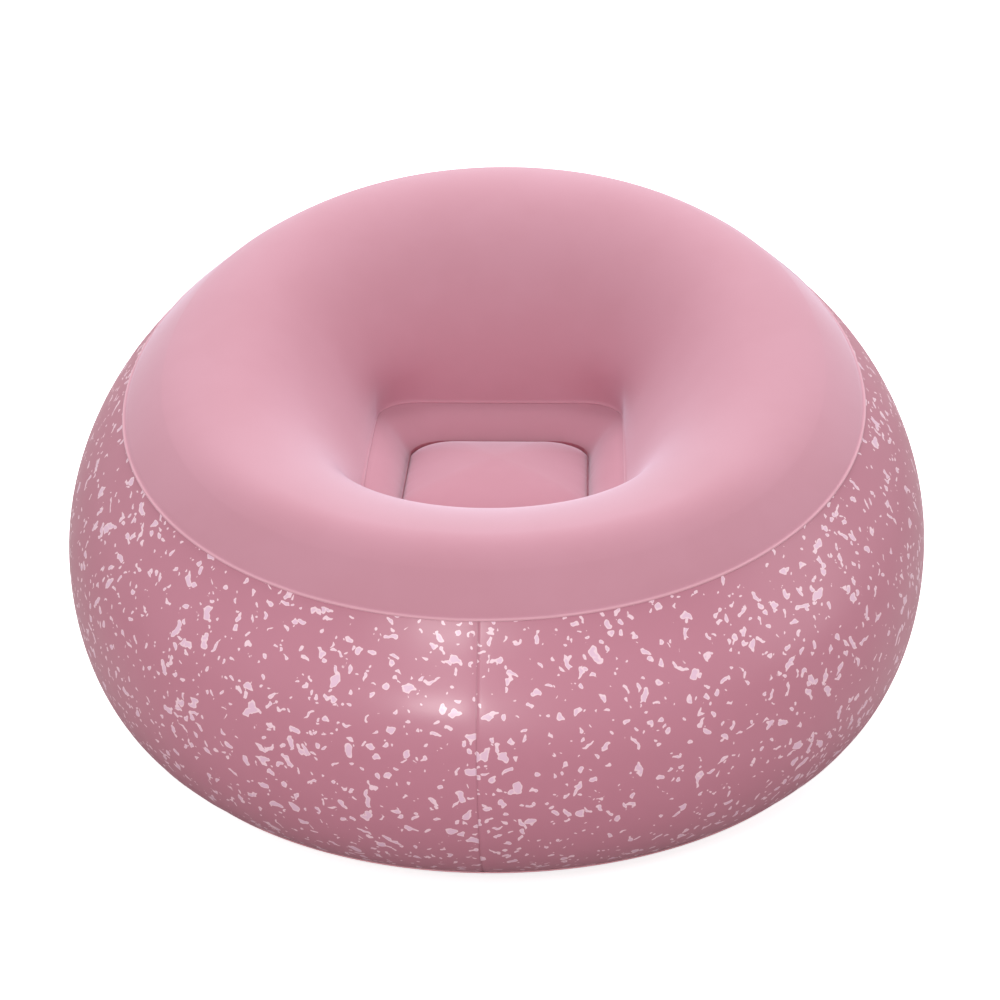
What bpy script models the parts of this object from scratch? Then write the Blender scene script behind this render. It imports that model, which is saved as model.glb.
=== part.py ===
# Round inflatable armchair: PVC sheets welded round one air chamber, a tension wall inside,
# and a screw valve at the back. Metres, +Z up, the sitter faces -Y, and the origin is on the
# floor under the middle of the chair.

import math

import bpy
import bmesh
from mathutils import Matrix, Vector

for old in list(bpy.data.objects):
    bpy.data.objects.remove(old)

# Sheets and welds
SHEET = 0.0004                  # thickness of the PVC sheet
GAP = 0.0003                    # clearance between two faces that are welded or seated
WELD_LAP = 0.010                # width of a ring weld
SEAM_LAP = 0.008                # width of an upright seam's weld
SEAM_CLEARANCE = 0.0005         # from a seam's showing edge to the joggle of the sheet below
SEAM_JOGGLE = 0.0025            # run of that joggle

# Outer body: a size that changes round the chair has a front, a side and a back value
EQUATOR_RADIUS = 0.560
EQUATOR_HEIGHT_FRONT = 0.248
EQUATOR_HEIGHT_SIDE = 0.273
EQUATOR_HEIGHT_BACK = 0.297
RIM_RADIUS = 0.474              # ring weld between the printed wall and the top sheet
RIM_SHIFT = -0.018
RIM_HEIGHT = 0.4825
RIM_RISE = 0.0932               # how much higher the back of the rim is than its middle
CREST_RADIUS_FRONT = 0.353
CREST_RADIUS_SIDE = 0.352
CREST_RADIUS_BACK = 0.364
CREST_HEIGHT_FRONT = 0.432      # the lip under the sitter's knees
CREST_HEIGHT_SIDE = 0.5435      # the arms
CREST_HEIGHT_BACK = 0.6635      # the backrest

# Seat well: a rounded rectangle, welded to the top sheet, with the pillow inside it
WELL_WIDTH = 0.338
WELL_DEPTH = 0.343
WELL_CORNER = 0.055
WELL_SHIFT = 0.019
WELL_HEIGHT_FRONT = 0.350
WELL_HEIGHT_SIDE = 0.372
WELL_HEIGHT_BACK = 0.378
BAND_WIDTH = 0.047              # from the well's weld in to the pillow's crease
BAND_DROP = 0.046               # how far the crease lies below the well's weld at the back
PILLOW_CROWN = 0.045

# Underside
BASE_WELD_RADIUS = 0.418
BASE_WELD_RISE = 0.0223         # how far the base weld stands above the flat ring
FLAT_OUTER_RADIUS = 0.285
FLAT_INNER_RADIUS = 0.205
TIE_RISE = 0.012                # the tension wall draws the middle of the base up this far
MIDDLE_SAG = 0.006              # and the air pushes it down again inside that wall

# Slopes of the sheets where they meet, in degrees from level
BASE_SLOPE = 14.0
WALL_SLOPE_FRONT = 56.5
WALL_SLOPE_SIDE = 33.5
WALL_SLOPE_BACK = 28.0
TOP_SLOPE_FRONT = 50.0
TOP_SLOPE_SIDE = 68.0
TOP_SLOPE_BACK = 56.0
WELL_SLOPE_FRONT = 55.0
WELL_SLOPE_SIDE = 60.0
WELL_SLOPE_BACK = 88.0
BAND_SLOPE_OUTER = 10.0
BAND_SLOPE_INNER = 62.0

# Shape shares: how far each curve's handles reach, and how square the crest is
LOWER_HANDLE_SHARE = 0.558
EQUATOR_HANDLE_SHARE = 0.356
RIM_HANDLE_SHARE = 0.35
TOP_HANDLE_SHARE = 0.40
CREST_HANDLE_SHARE = 0.50
WELL_HANDLE_SHARE = 0.55
BAND_HANDLE_SHARE = 0.40
BASE_HANDLE_SHARE = 0.40
CREST_SQUARE_SHARE = 0.036
MITRE_SHARE = 0.25              # least cosine that a crease's mitre follows
SHARP_ANGLE = 40.0              # edges bent by more than this many degrees are shaded sharp
PILLOW_POWER = 2.6

# Air holes through the tension wall
AIR_HOLE_RADIUS = 0.020

# Screw valve: the wall's hole, the welded base, the insert, its seal and flap, and the cap
VALVE_AZIMUTH = 101.0           # degrees from +X, so just beside the rear seam
VALVE_HEIGHT_SHARE = 0.80       # of the lower curve, from the base weld to the equator
HOLE_CLEARANCE = 0.0005
FLANGE_RADIUS = 0.034
FLANGE_THICKNESS = 0.0012
BORE_RADIUS = 0.0125
NECK_WALL = 0.0022
NECK_STAND = 0.0040             # above the wall of the chair
NECK_DEPTH = 0.0150
NECK_CHAMFER = 0.0005
RUN_CLEARANCE = 0.0003          # round a piece that turns or slides
SEAL_SECTION = 0.0016
INSERT_WALL = 0.0016
INSERT_LENGTH = 0.0140          # below its rim
INSERT_RIM_RADIUS = 0.0178
INSERT_RIM_THICKNESS = 0.0020
COLLAR_WALL = 0.0020
COLLAR_HEIGHT = 0.0038
GRIP_COUNT = 8
GRIP_RADIUS = 0.0028            # of each hollow in the edge of the rim
GRIP_DEPTH = 0.0012
SEAT_RADIUS = 0.0063            # the hole that the flap closes
SEAT_THICKNESS = 0.0015
BAR_WIDTH = 0.0014              # the cross that keeps the flap from being pushed out
BAR_SETBACK = 0.0004
FLAP_RADIUS = 0.0075
FLAP_THICKNESS = 0.0008
PIN_RADIUS = 0.0005
BARREL_WALL = 0.0005
BARREL_LENGTH = 0.0050
LUG_WIDTH = 0.0015
LUG_WALL = 0.0007
RING_WALL = 0.0020
RING_THICKNESS = 0.0016
STRAP_WIDTH = 0.0070
STRAP_REACH = 0.0035            # from the tether ring out to the hinge
LEG_THICKNESS = 0.0014
CAP_OVERHANG = 0.0016           # of the cap's disc past the collar
CAP_THICKNESS = 0.0018
PLUG_DEPTH = 0.0030
PLUG_CHAMFER = 0.0006
TAB_LENGTH = 0.0060
TAB_WIDTH = 0.0090
CUT_OVERRUN = 0.002             # how far a cutter runs past what it cuts

# Facets
STATIONS = 72                   # round the chair; a multiple of four
SMALL_STEPS = 32                # round the valve's pieces
FINE_STEPS = 8                  # round the seal's section, the pin and its barrel

# Rows along each curve, as shares of it; the weld laps add their own
LOWER_ROW_SHARES = (0.20, 0.38, 0.56, 0.72, 0.87)
UPPER_ROW_SHARES = (0.20, 0.44, 0.72)
OUTER_ROW_SHARES = (0.36, 0.66, 0.86)
INNER_ROW_SHARES = (0.17, 0.36, 0.56, 0.76)
BAND_ROW_SHARES = (0.40, 0.74)
PILLOW_ROW_SHARES = (0.90, 0.72, 0.46)
MIDDLE_ROW_SHARE = 0.55

PINK_MATT = (0.56, 0.26, 0.34)
PINK_PRINT = (0.50, 0.20, 0.28)
PINK_BASE = (0.48, 0.19, 0.26)
CLEAR_PVC = (0.72, 0.68, 0.68)
WHITE_PLASTIC = (0.80, 0.78, 0.77)
GREY_RUBBER = (0.20, 0.20, 0.21)
STEEL = (0.55, 0.55, 0.57)


def front_side_back(front, side, back, angle):
    """A size that runs smoothly from its front value over its side value to its back value."""
    s = math.sin(angle)
    return side + (back - front) / 2 * s + ((front + back) / 2 - side) * s * s


def around(radius, angle, height, shift=0.0):
    return Vector((radius * math.cos(angle), shift + radius * math.sin(angle), height))


def outward(angle):
    return Vector((math.cos(angle), math.sin(angle), 0.0))


def sloped(direction, degrees):
    """A level direction, raised by a slope."""
    slope = math.radians(degrees)
    return direction * math.cos(slope) + Vector((0.0, 0.0, math.sin(slope)))


def rounded_rectangle(half_width, half_depth, corner, angle):
    """Distance from the middle to the outline, in one direction."""
    c = abs(math.cos(angle))
    s = abs(math.sin(angle))
    reach = half_width / c if c * half_depth > s * half_width else half_depth / s
    centre_x = half_width - corner
    centre_y = half_depth - corner
    if reach * c > centre_x and reach * s > centre_y:
        along = centre_x * c + centre_y * s
        across = centre_x ** 2 + centre_y ** 2 - corner ** 2
        reach = along + math.sqrt(max(along ** 2 - across, 0.0))
    return reach


def bezier(points, share):
    a, b, c, d = points
    rest = 1.0 - share
    return a * rest ** 3 + b * (3 * rest ** 2 * share) + c * (3 * rest * share ** 2) + d * share ** 3


def level_part(vector):
    return Vector((vector.x, vector.y, 0.0))


# Rings that two sheets share

FLOOR_LEVEL = SHEET + GAP       # the base sheet lies outside this level, with its face on the floor


def base_weld(angle):
    return around(BASE_WELD_RADIUS, angle, FLOOR_LEVEL + BASE_WELD_RISE)


def equator(angle):
    height = front_side_back(EQUATOR_HEIGHT_FRONT, EQUATOR_HEIGHT_SIDE, EQUATOR_HEIGHT_BACK, angle)
    return around(EQUATOR_RADIUS, angle, height)


def rim(angle):
    return around(RIM_RADIUS, angle, RIM_HEIGHT + RIM_RISE * math.sin(angle), RIM_SHIFT)


def crest(angle):
    radius = front_side_back(CREST_RADIUS_FRONT, CREST_RADIUS_SIDE, CREST_RADIUS_BACK, angle)
    height = front_side_back(CREST_HEIGHT_FRONT, CREST_HEIGHT_SIDE, CREST_HEIGHT_BACK, angle)
    return around(radius * (1.0 - CREST_SQUARE_SHARE * math.cos(4 * angle)), angle, height)


def well(angle):
    radius = rounded_rectangle(WELL_WIDTH / 2, WELL_DEPTH / 2, WELL_CORNER, angle)
    height = front_side_back(WELL_HEIGHT_FRONT, WELL_HEIGHT_SIDE, WELL_HEIGHT_BACK, angle)
    return around(radius, angle, height, WELL_SHIFT)


def tie_ring(angle, height):
    """The tension wall's outline, under the pillow's crease."""
    corner = max(WELL_CORNER - BAND_WIDTH, BAND_WIDTH)
    radius = rounded_rectangle(WELL_WIDTH / 2 - BAND_WIDTH, WELL_DEPTH / 2 - BAND_WIDTH, corner, angle)
    return around(radius, angle, height, WELL_SHIFT)


def crease(angle):
    return tie_ring(angle, WELL_HEIGHT_BACK - BAND_DROP)


def foot(angle):
    return tie_ring(angle, FLOOR_LEVEL + TIE_RISE)


# Curves between those rings, each as the four points of a Bezier curve

def lower_curve(angle):
    start = base_weld(angle)
    end = equator(angle)
    run = level_part(end - start).length * LOWER_HANDLE_SHARE
    climb = (end.z - start.z) * LOWER_HANDLE_SHARE
    return start, start + sloped(outward(angle), BASE_SLOPE) * run, end - Vector((0, 0, climb)), end


def upper_curve(angle):
    start = equator(angle)
    end = rim(angle)
    length = (end - start).length
    slope = front_side_back(WALL_SLOPE_FRONT, WALL_SLOPE_SIDE, WALL_SLOPE_BACK, angle)
    arrival = sloped(-outward(angle), slope)
    return (start, start + Vector((0, 0, length * EQUATOR_HANDLE_SHARE)),
            end - arrival * (length * RIM_HANDLE_SHARE), end)


def outer_curve(angle):
    start = rim(angle)
    end = crest(angle)
    slope = front_side_back(TOP_SLOPE_FRONT, TOP_SLOPE_SIDE, TOP_SLOPE_BACK, angle)
    departure = sloped(-outward(angle), slope)
    run = level_part(end - start).length * CREST_HANDLE_SHARE
    return (start, start + departure * ((end - start).length * TOP_HANDLE_SHARE),
            end + outward(angle) * run, end)


def inner_curve(angle):
    start = crest(angle)
    end = well(angle)
    inward = level_part(end - start).normalized()
    run = level_part(end - start).length * WELL_HANDLE_SHARE
    drop = (start.z - end.z) * WELL_HANDLE_SHARE
    slope = front_side_back(WELL_SLOPE_FRONT, WELL_SLOPE_SIDE, WELL_SLOPE_BACK, angle)
    return start, start + inward * run, end + sloped(-inward, slope) * drop, end


def band_curve(angle):
    start = well(angle)
    end = crease(angle)
    inward = level_part(end - start).normalized()
    reach = (end - start).length * BAND_HANDLE_SHARE
    return (start, start + sloped(inward, -BAND_SLOPE_OUTER) * reach,
            end + sloped(-inward, BAND_SLOPE_INNER) * reach, end)


def base_curve(angle):
    start = around(FLAT_OUTER_RADIUS, angle, FLOOR_LEVEL)
    end = base_weld(angle)
    reach = (end - start).length * BASE_HANDLE_SHARE
    return start, start + outward(angle) * reach, end - sloped(outward(angle), BASE_SLOPE) * reach, end


def lap_share(curve, from_end=False):
    """Share of a curve that one weld lap takes at its start or at its end."""
    handle = (curve[3] - curve[2]).length if from_end else (curve[1] - curve[0]).length
    share = WELD_LAP / (3 * handle)
    return 1.0 - share if from_end else share


def pillow_point(angle, share):
    """The pillow's dome, from its crease at share 1 to its middle at share 0."""
    edge = crease(angle)
    middle = Vector((0.0, WELL_SHIFT, edge.z))
    rise = (1.0 - share ** PILLOW_POWER) ** (1.0 / PILLOW_POWER)
    return middle.lerp(edge, share) + Vector((0, 0, PILLOW_CROWN * rise))


def pillow_lap_share():
    """Where the pillow has risen by one weld lap from its crease."""
    return (1.0 - (WELD_LAP / PILLOW_CROWN) ** PILLOW_POWER) ** (1.0 / PILLOW_POWER)


def base_middle_point(angle, share):
    """The base inside the tension wall, sagging again towards its middle."""
    edge = foot(angle)
    middle = Vector((0.0, WELL_SHIFT, edge.z - MIDDLE_SAG))
    drop = MIDDLE_SAG * (1.0 - share ** 2)
    level = middle.lerp(edge, share)
    return Vector((level.x, level.y, edge.z - drop))


def foot_lap_point(angle):
    """Outer edge of the tension wall's foot, level with the foot."""
    start = foot(angle)
    return start + outward(angle) * WELD_LAP


ANGLES = [2 * math.pi * i / STATIONS for i in range(STATIONS)]


def master_rows():
    """All rows of the chair's skin, from the middle of the base round to the middle of the seat."""
    rows = {}

    def add(name, function):
        rows[name] = [function(angle) for angle in ANGLES]

    rows["base_middle"] = [base_middle_point(0.0, 0.0)]
    add("base_inner", lambda a: base_middle_point(a, MIDDLE_ROW_SHARE))
    add("foot", foot)
    add("foot_lap", foot_lap_point)
    add("flat_inner", lambda a: around(FLAT_INNER_RADIUS, a, FLOOR_LEVEL))
    add("flat_outer", lambda a: around(FLAT_OUTER_RADIUS, a, FLOOR_LEVEL))
    add("base_bend", lambda a: bezier(base_curve(a), MIDDLE_ROW_SHARE))
    add("base_lap", lambda a: bezier(base_curve(a), lap_share(base_curve(a), True)))
    add("base_weld", base_weld)
    for i, share in enumerate(LOWER_ROW_SHARES):
        add(f"lower_{i}", lambda a: bezier(lower_curve(a), share))
    add("equator", equator)
    for i, share in enumerate(UPPER_ROW_SHARES):
        add(f"upper_{i}", lambda a: bezier(upper_curve(a), share))
    add("rim", rim)
    add("rim_lap", lambda a: bezier(outer_curve(a), lap_share(outer_curve(a))))
    for i, share in enumerate(OUTER_ROW_SHARES):
        add(f"outer_{i}", lambda a: bezier(outer_curve(a), share))
    add("crest", crest)
    for i, share in enumerate(INNER_ROW_SHARES):
        add(f"inner_{i}", lambda a: bezier(inner_curve(a), share))
    add("well_lap", lambda a: bezier(inner_curve(a), lap_share(inner_curve(a), True)))
    add("well", well)
    for i, share in enumerate(BAND_ROW_SHARES):
        add(f"band_{i}", lambda a: bezier(band_curve(a), share))
    add("crease", crease)
    add("pillow_lap", lambda a: pillow_point(a, pillow_lap_share()))
    for i, share in enumerate(PILLOW_ROW_SHARES):
        add(f"pillow_{i}", lambda a: pillow_point(a, share))
    rows["pillow_middle"] = [pillow_point(0.0, 0.0)]
    return rows


ROWS = master_rows()
ROW_NAMES = list(ROWS)
FLAT_ROWS = ("flat_inner", "flat_outer")


def row_normals():
    """Outward steps that move every face of the skin out by one, with mitred creases."""
    normals = {"base_middle": [Vector((0, 0, -1))], "pillow_middle": [Vector((0, 0, 1))]}
    for before, name, after in zip(ROW_NAMES, ROW_NAMES[1:], ROW_NAMES[2:]):
        row = ROWS[name]
        result = []
        for i in range(STATIONS):
            across = row[(i + 1) % STATIONS] - row[i - 1]
            face_before = across.cross(row[i] - ROWS[before][i % len(ROWS[before])]).normalized()
            face_after = across.cross(ROWS[after][i % len(ROWS[after])] - row[i]).normalized()
            normal = (face_before + face_after).normalized()
            result.append(normal / max(normal.dot(face_after), MITRE_SHARE))
        normals[name] = [Vector((0, 0, -1))] * STATIONS if name in FLAT_ROWS else result
    return normals


NORMALS = row_normals()


def names_between(first, last):
    return ROW_NAMES[ROW_NAMES.index(first):ROW_NAMES.index(last) + 1]


def offset_rows(names, offset):
    return [[p + n * offset for p, n in zip(ROWS[name], NORMALS[name])] for name in names]


# Building solids

def link_object(name, mesh):
    obj = bpy.data.objects.new(name, mesh)
    bpy.context.scene.collection.objects.link(obj)
    return obj


def mesh_object(name, bm):
    """Object of a bmesh whose closed surface is turned to face out."""
    bmesh.ops.recalc_face_normals(bm, faces=bm.faces[:])
    if bm.calc_volume(signed=True) < 0:
        bmesh.ops.reverse_faces(bm, faces=bm.faces[:])
    mesh = bpy.data.meshes.new(name)
    bm.to_mesh(mesh)
    bm.free()
    return link_object(name, mesh)


def join_rows(bm, row, next_row, closed):
    """Faces between two rows of vertices; a row of one vertex is the tip of a fan."""
    count = max(len(row), len(next_row))
    for i in range(count if closed else count - 1):
        j = (i + 1) % count
        corners = [row[i % len(row)], row[j % len(row)], next_row[j % len(next_row)], next_row[i % len(next_row)]]
        bm.faces.new(list(dict.fromkeys(corners)))


def shell(name, outer, inner, closed=True):
    """A sheet between an outer and an inner set of rows, with its edges closed."""
    bm = bmesh.new()
    outer_rows = [[bm.verts.new(p) for p in row] for row in outer]
    inner_rows = [[bm.verts.new(p) for p in row] for row in inner]
    for rows in (outer_rows, inner_rows):
        for row, next_row in zip(rows, rows[1:]):
            join_rows(bm, row, next_row, closed)
    for k in (0, -1):
        if len(outer_rows[k]) > 1:
            join_rows(bm, outer_rows[k], inner_rows[k], closed)
    if not closed:
        for k in (0, -1):
            join_rows(bm, [row[k] for row in outer_rows], [row[k] for row in inner_rows], False)
    return mesh_object(name, bm)


def turned(name, profile, steps=SMALL_STEPS):
    """A solid turned round the local Z axis from a profile of (radius, height) points."""
    bm = bmesh.new()
    verts = [bm.verts.new((radius, 0.0, height)) for radius, height in profile]
    touches_axis = profile[0][0] == 0.0 and profile[-1][0] == 0.0
    edges = [bm.edges.new(pair) for pair in zip(verts, verts[1:])]
    if not touches_axis:
        edges.append(bm.edges.new((verts[-1], verts[0])))
    bmesh.ops.spin(bm, geom=verts + edges, cent=(0, 0, 0), axis=(0, 0, 1), angle=2 * math.pi,
                   steps=steps, use_merge=True)
    bmesh.ops.remove_doubles(bm, verts=bm.verts[:], dist=GAP / STATIONS)
    return mesh_object(name, bm)


def block(name, low, high):
    bm = bmesh.new()
    size = Vector(high) - Vector(low)
    centre = (Vector(high) + Vector(low)) / 2
    bmesh.ops.create_cube(bm, size=1.0, matrix=Matrix.Translation(centre) @ Matrix.Diagonal((*size, 1.0)))
    return mesh_object(name, bm)


def rod(name, radius, start, end, steps=SMALL_STEPS):
    """A round bar between two points."""
    bm = bmesh.new()
    axis = Vector(end) - Vector(start)
    turn = axis.to_track_quat('Z', 'Y').to_matrix().to_4x4()
    place = Matrix.Translation((Vector(start) + Vector(end)) / 2) @ turn
    bmesh.ops.create_cone(bm, cap_ends=True, segments=steps, radius1=radius, radius2=radius,
                          depth=axis.length, matrix=place)
    return mesh_object(name, bm)


def combine(body, tool, operation):
    """Boolean of two solids; the tool is used up."""
    modifier = body.modifiers.new("combine", 'BOOLEAN')
    modifier.operation = operation
    modifier.solver = 'EXACT'
    modifier.object = tool
    bpy.context.view_layer.update()
    depsgraph = bpy.context.evaluated_depsgraph_get()
    result = bpy.data.meshes.new_from_object(body.evaluated_get(depsgraph))
    body.modifiers.clear()
    body.data = result
    bpy.data.objects.remove(tool)
    return body


def finish(obj, colour, roughness, metallic=0.0):
    """Give a piece its own material and shading."""
    material = bpy.data.materials.new(obj.name)
    material.use_nodes = True
    shader = material.node_tree.nodes["Principled BSDF"]
    shader.inputs["Base Color"].default_value = (*colour, 1.0)
    shader.inputs["Roughness"].default_value = roughness
    shader.inputs["Metallic"].default_value = metallic
    obj.data.materials.clear()
    obj.data.materials.append(material)
    obj.data.shade_smooth()
    obj.data.set_sharp_from_angle(angle=math.radians(SHARP_ANGLE))
    return obj


def move_origin(obj, origin):
    """Put an object's origin at a point, with its mesh left where it is."""
    obj.data.transform(Matrix.Translation(-Vector(origin)))
    obj.location = origin


# The sheets

def make_top_sheet():
    """Matt sheet from the rim over the arms and backrest down to the seat well."""
    names = names_between("rim", "well")
    top = shell("top_sheet", offset_rows(names, GAP + SHEET), offset_rows(names, GAP))
    return finish(top, PINK_MATT, 0.75)


def make_seat_panel():
    """Panel welded under the top sheet's inner edge, with the pillow inside its crease."""
    names = names_between("well_lap", "pillow_middle")
    seat = shell("seat_panel", offset_rows(names, 0.0), offset_rows(names, -SHEET))
    return finish(seat, PINK_MATT, 0.75)


def make_base_sheet():
    """Plain sheet under the chair, lapped outside the printed wall."""
    names = names_between("base_middle", "base_weld")
    base = shell("base_sheet", offset_rows(names, GAP + SHEET), offset_rows(names, GAP))
    return finish(base, PINK_BASE, 0.45)


def on_facet(row, station, towards, distance):
    """A point on a row's straight edge, a distance from one station towards the next."""
    start = row[station % STATIONS]
    end = row[(station + towards) % STATIONS]
    return start.lerp(end, distance / EQUATOR_RADIUS * STATIONS / (2 * math.pi))


def side_panel_names():
    return ["base_lap", "base_weld"] + names_between("lower_0", "rim_lap")


def make_side_panel_left():
    """Printed half wall, whose upright edges show at the front and rear seams."""
    columns = range(STATIONS // 4, 3 * STATIONS // 4 + 1)
    names = side_panel_names()
    outer = [[row[i] for i in columns] for row in offset_rows(names, 0.0)]
    inner = [[row[i] for i in columns] for row in offset_rows(names, -SHEET)]
    return shell("side_panel_left", outer, inner, closed=False)


def make_side_panel_right():
    """Printed half wall, joggled inwards under the left one at both seams."""
    front = -STATIONS // 4
    rear = STATIONS // 4
    hidden = -(SHEET + GAP)
    names = side_panel_names()
    level = offset_rows(names, 0.0)
    under = offset_rows(names, hidden)
    level_inner = offset_rows(names, -SHEET)
    under_inner = offset_rows(names, hidden - SHEET)

    def columns(level_row, under_row):
        first = [on_facet(under_row, front, -1, SEAM_LAP), under_row[front],
                 on_facet(under_row, front, 1, SEAM_CLEARANCE),
                 on_facet(level_row, front, 1, SEAM_CLEARANCE + SEAM_JOGGLE)]
        middle = [level_row[i] for i in range(front + 1, rear)]
        last = [on_facet(level_row, rear, -1, SEAM_CLEARANCE + SEAM_JOGGLE),
                on_facet(under_row, rear, -1, SEAM_CLEARANCE), under_row[rear],
                on_facet(under_row, rear, 1, SEAM_LAP)]
        return first + middle + last

    outer = [columns(a, b) for a, b in zip(level, under)]
    inner = [columns(a, b) for a, b in zip(level_inner, under_inner)]
    return shell("side_panel_right", outer, inner, closed=False)


def make_seat_baffle():
    """Tension wall inside the chair: it holds the pillow's crease down to the base."""
    ring = [foot(a) for a in ANGLES]
    inward = [Vector((0, 0, 1)).cross(ring[(i + 1) % STATIONS] - ring[i - 1]).normalized() * SHEET
              for i in range(STATIONS)]

    def wall_row(heights, offset):
        return [Vector((p.x, p.y, z)) + step * offset for p, z, step in zip(ring, heights, inward)]

    under = -(SHEET + GAP)
    foot_heights = [p.z for p in ring]
    upper_heights = [z + SHEET for z in foot_heights]
    crease_row, lap_row = offset_rows(["crease", "pillow_lap"], under)
    outer = [offset_rows(["foot_lap"], -SHEET)[0], wall_row(upper_heights, 0), crease_row, lap_row]
    inner = [ROWS["foot_lap"], wall_row(foot_heights, 1), [p + step for p, step in zip(crease_row, inward)],
             offset_rows(["pillow_lap"], under - SHEET)[0]]
    baffle = shell("seat_baffle", outer, inner)
    middle = Vector((0.0, WELL_SHIFT, (foot_heights[0] + crease_row[0].z) / 2))
    for axis, size in ((Vector((1, 0, 0)), WELL_WIDTH), (Vector((0, 1, 0)), WELL_DEPTH)):
        hole = rod("air_hole", AIR_HOLE_RADIUS, middle - axis * size / 2, middle + axis * size / 2)
        combine(baffle, hole, 'DIFFERENCE')
    return finish(baffle, PINK_BASE, 0.5)


# The valve, in its own frame: the chair's wall is at height 0, and the air comes in along -Z

def valve_frame():
    """Place and direction of the valve on the rear of the printed wall."""
    angle = math.radians(VALVE_AZIMUTH)
    curve = lower_curve(angle)
    step = 1.0 / STATIONS
    point = bezier(curve, VALVE_HEIGHT_SHARE)
    up = (bezier(curve, VALVE_HEIGHT_SHARE + step) - bezier(curve, VALVE_HEIGHT_SHARE - step)).normalized()
    side = Vector((-math.sin(angle), math.cos(angle), 0.0))
    normal = side.cross(up).normalized()
    across = up.cross(normal).normalized()
    frame = Matrix((across, up, normal)).transposed().to_4x4()
    frame.translation = point
    return frame


NECK_RADIUS = BORE_RADIUS + NECK_WALL
SEAL_RADIUS = (BORE_RADIUS + NECK_RADIUS) / 2
RIM_BOTTOM = NECK_STAND + SEAL_SECTION + 2 * GAP
RIM_TOP = RIM_BOTTOM + INSERT_RIM_THICKNESS
COLLAR_TOP = RIM_TOP + COLLAR_HEIGHT
INSERT_RADIUS = BORE_RADIUS - RUN_CLEARANCE
SOCKET_RADIUS = INSERT_RADIUS - INSERT_WALL
COLLAR_RADIUS = SOCKET_RADIUS + COLLAR_WALL
INSERT_BOTTOM = RIM_BOTTOM - INSERT_LENGTH
BARREL_RADIUS = PIN_RADIUS + RUN_CLEARANCE + BARREL_WALL
LUG_REACH = PIN_RADIUS + RUN_CLEARANCE + LUG_WALL
PIN_Y = FLAP_RADIUS + LUG_REACH
PIN_Z = INSERT_BOTTOM - RUN_CLEARANCE - BARREL_RADIUS
RING_RADIUS = COLLAR_RADIUS + RUN_CLEARANCE
RING_BOTTOM = RIM_TOP + RUN_CLEARANCE
RING_TOP = RING_BOTTOM + RING_THICKNESS
HINGE_Y = RING_RADIUS + RING_WALL + STRAP_REACH
HINGE_Z = RING_TOP + RUN_CLEARANCE / 2
CAP_BOTTOM = COLLAR_TOP + RUN_CLEARANCE
CAP_RADIUS = COLLAR_RADIUS + CAP_OVERHANG


def cut_valve_hole(panel, frame):
    hole = rod("valve_hole", NECK_RADIUS + HOLE_CLEARANCE, (0, 0, -NECK_DEPTH), (0, 0, NECK_DEPTH))
    hole.data.transform(frame)
    return combine(panel, hole, 'DIFFERENCE')


def make_valve_base(frame):
    """Soft flange that follows the wall from inside, and the threaded neck through its hole."""
    station = round(math.radians(VALVE_AZIMUTH) / (2 * math.pi) * STATIONS)
    reach = math.ceil(FLANGE_RADIUS / EQUATOR_RADIUS * STATIONS / (2 * math.pi)) + 1
    columns = range(station - reach, station + reach + 1)
    names = names_between("base_weld", "upper_0")
    outer = [[row[i] for i in columns] for row in offset_rows(names, -SHEET - GAP)]
    inner = [[row[i] for i in columns] for row in offset_rows(names, -SHEET - GAP - FLANGE_THICKNESS)]
    patch = shell("valve_base", outer, inner, closed=False)
    patch.data.transform(frame.inverted())
    disc = rod("flange_disc", FLANGE_RADIUS, (0, 0, -NECK_DEPTH), (0, 0, NECK_DEPTH))
    combine(patch, disc, 'INTERSECT')
    neck = turned("neck", ((0.0, -NECK_DEPTH), (NECK_RADIUS, -NECK_DEPTH), (NECK_RADIUS, NECK_STAND - NECK_CHAMFER),
                           (NECK_RADIUS - NECK_CHAMFER, NECK_STAND), (0.0, NECK_STAND)))
    combine(patch, neck, 'UNION')
    bore = rod("bore", BORE_RADIUS, (0, 0, -NECK_DEPTH - CUT_OVERRUN), (0, 0, NECK_STAND + CUT_OVERRUN))
    combine(patch, bore, 'DIFFERENCE')
    return finish(patch, CLEAR_PVC, 0.35)


def make_valve_seal():
    """Ring between the neck's end and the insert's rim."""
    middle = NECK_STAND + GAP + SEAL_SECTION / 2
    half = SEAL_SECTION / 2
    section = [(SEAL_RADIUS + half * math.cos(t), middle + half * math.sin(t))
               for t in (2 * math.pi * i / FINE_STEPS for i in range(FINE_STEPS))]
    return finish(turned("valve_seal", section), GREY_RUBBER, 0.6)


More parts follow.
